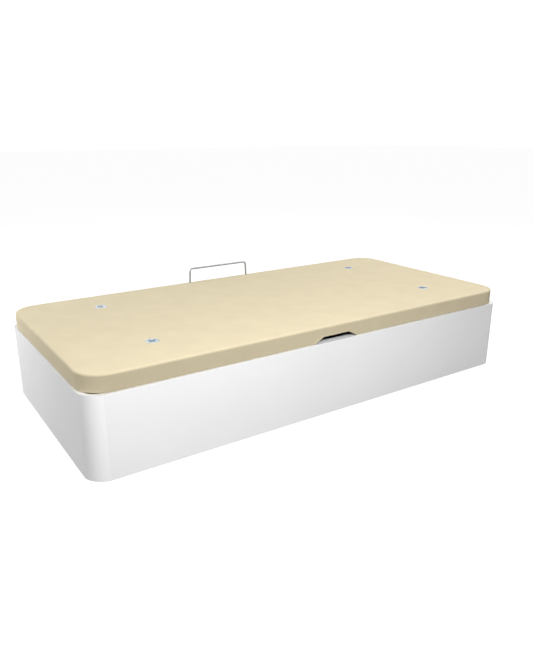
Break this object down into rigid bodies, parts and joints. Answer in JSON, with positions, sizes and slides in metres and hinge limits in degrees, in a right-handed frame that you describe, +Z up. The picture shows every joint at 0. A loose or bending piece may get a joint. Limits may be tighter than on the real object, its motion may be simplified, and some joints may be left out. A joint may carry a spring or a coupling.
{
  "type": "lift-up storage bed base",
  "caption": "Single lift-up storage bed base: white board box with round corners, padded fabric lid on a lever mechanism with gas struts, finger notch, vents and wire mattress stop.",
  "frame": {"origin": "middle of the box's footprint, on the floor", "axes": "+X along the bed's length, -Y towards the long side that opens, +Z up"},
  "size_m": [1.9, 0.9, 0.4155],
  "materials": {
    "white_laminate": "satin",
    "raw_board": "matte",
    "pine": "matte",
    "zinc_steel": "satin",
    "arm_steel": "satin",
    "tube_steel": "satin",
    "screw_steel": "satin",
    "strut_paint": "gloss",
    "chrome_rod": "gloss",
    "vent_metal": "satin",
    "clear_bumper": "matte",
    "black_plastic": "matte",
    "foam": "matte",
    "spacer_fabric": "matte"
  },
  "bodies": {
    "base": {"front_panel": "white_laminate", "back_panel": "white_laminate", "left_end_panel": "white_laminate", "right_end_panel": "white_laminate", "corner_post_front_left": "white_laminate", "corner_post_front_right": "white_laminate", "corner_post_back_left": "white_laminate", "corner_post_back_right": "white_laminate", "front_top_rail": "white_laminate", "back_top_rail": "white_laminate", "floor_board_left": "white_laminate", "floor_board_middle": "white_laminate", "floor_board_right": "white_laminate", "floor_cleats": "pine", "floor_joists": "pine", "corner_brackets": "zinc_steel", "corner_bracket_screws": "screw_steel", "rim_bumpers": "clear_bumper", "hinge_plate_left": "zinc_steel", "hinge_plate_right": "zinc_steel", "hinge_plate_screws": "screw_steel", "short_arm_pins": "screw_steel", "long_arm_pins": "screw_steel", "strut_anchor_left": "zinc_steel", "strut_anchor_right": "zinc_steel", "strut_anchor_screws": "screw_steel", "top_rail_screws": "screw_steel"},
    "lid": {"lid_bracket_left": "zinc_steel", "lid_bracket_right": "zinc_steel", "bracket_pins": "screw_steel", "bracket_bolts": "screw_steel", "frame_front_tube": "tube_steel", "frame_back_tube": "tube_steel", "frame_left_tube": "tube_steel", "frame_right_tube": "tube_steel", "frame_corner_bends": "tube_steel", "frame_cross_tubes": "tube_steel", "front_edge_strip_left": "raw_board", "front_edge_strip_right": "raw_board", "notch_bridge": "raw_board", "back_edge_strip": "raw_board", "left_edge_strip": "raw_board", "right_edge_strip": "raw_board", "corner_edge_blocks": "raw_board", "lid_board": "raw_board", "foam_pad": "foam", "fabric_cover": "spacer_fabric", "grip_liner": "black_plastic", "vent_rims": "vent_metal", "vent_grilles": "vent_metal", "mattress_stop_bar": "chrome_rod", "stop_bar_sockets": "zinc_steel"},
    "short_arm_left": {"short_arm_left": "arm_steel"},
    "long_arm_left": {"long_arm_left": "arm_steel"},
    "gas_cylinder_left": {"gas_cylinder_left": "strut_paint"},
    "gas_rod_left": {"gas_rod_left": "chrome_rod"},
    "short_arm_right": {"short_arm_right": "arm_steel"},
    "long_arm_right": {"long_arm_right": "arm_steel"},
    "gas_cylinder_right": {"gas_cylinder_right": "strut_paint"},
    "gas_rod_right": {"gas_rod_right": "chrome_rod"}
  },
  "joints": [
    {"name": "lid_lift", "type": "hinge", "parent": "short_arm_left", "child": "lid", "pos_m": [-0.9243, 0.386, 0.267], "axis": [-1, 0, 0], "range_deg": [0, 88]},
    {"name": "short_arm_swing_left", "type": "hinge", "parent": "base", "child": "short_arm_left", "pos_m": [-0.9243, 0.296, 0.262], "axis": [1, 0, 0], "range_deg": [0, 45]},
    {"name": "long_arm_swing_left", "type": "hinge", "parent": "base", "child": "long_arm_left", "pos_m": [-0.9144, -0.106, 0.262], "axis": [1, 0, 0], "range_deg": [0, 16.84]},
    {"name": "gas_strut_tilt_left", "type": "hinge", "parent": "base", "child": "gas_cylinder_left", "pos_m": [-0.9039, 0.034, 0.07], "axis": [1, 0, 0], "range_deg": [0, 14.08]},
    {"name": "gas_rod_slide_left", "type": "slide", "parent": "gas_cylinder_left", "child": "gas_rod_left", "axis": [0, 0.7469, 0.6649], "range_m": [0, 0.0679]},
    {"name": "short_arm_swing_right", "type": "hinge", "parent": "base", "child": "short_arm_right", "pos_m": [0.9243, 0.296, 0.262], "axis": [1, 0, 0], "range_deg": [0, 45]},
    {"name": "long_arm_swing_right", "type": "hinge", "parent": "base", "child": "long_arm_right", "pos_m": [0.9144, -0.106, 0.262], "axis": [1, 0, 0], "range_deg": [0, 16.84]},
    {"name": "gas_strut_tilt_right", "type": "hinge", "parent": "base", "child": "gas_cylinder_right", "pos_m": [0.9039, 0.034, 0.07], "axis": [1, 0, 0], "range_deg": [0, 14.08]},
    {"name": "gas_rod_slide_right", "type": "slide", "parent": "gas_cylinder_right", "child": "gas_rod_right", "axis": [0, 0.7469, 0.6649], "range_m": [0, 0.0679]}
  ],
  "couplings": [
    {"joint": "short_arm_swing_left", "follows": "lid_lift", "ratio": 0.51136},
    {"joint": "long_arm_swing_left", "follows": "lid_lift", "ratio": 0.19136},
    {"joint": "gas_strut_tilt_left", "follows": "lid_lift", "ratio": 0.16},
    {"joint": "gas_rod_slide_left", "follows": "lid_lift", "m_per_rad": 0.044208},
    {"joint": "short_arm_swing_right", "follows": "lid_lift", "ratio": 0.51136},
    {"joint": "long_arm_swing_right", "follows": "lid_lift", "ratio": 0.19136},
    {"joint": "gas_strut_tilt_right", "follows": "lid_lift", "ratio": 0.16},
    {"joint": "gas_rod_slide_right", "follows": "lid_lift", "m_per_rad": 0.044208}
  ]
}
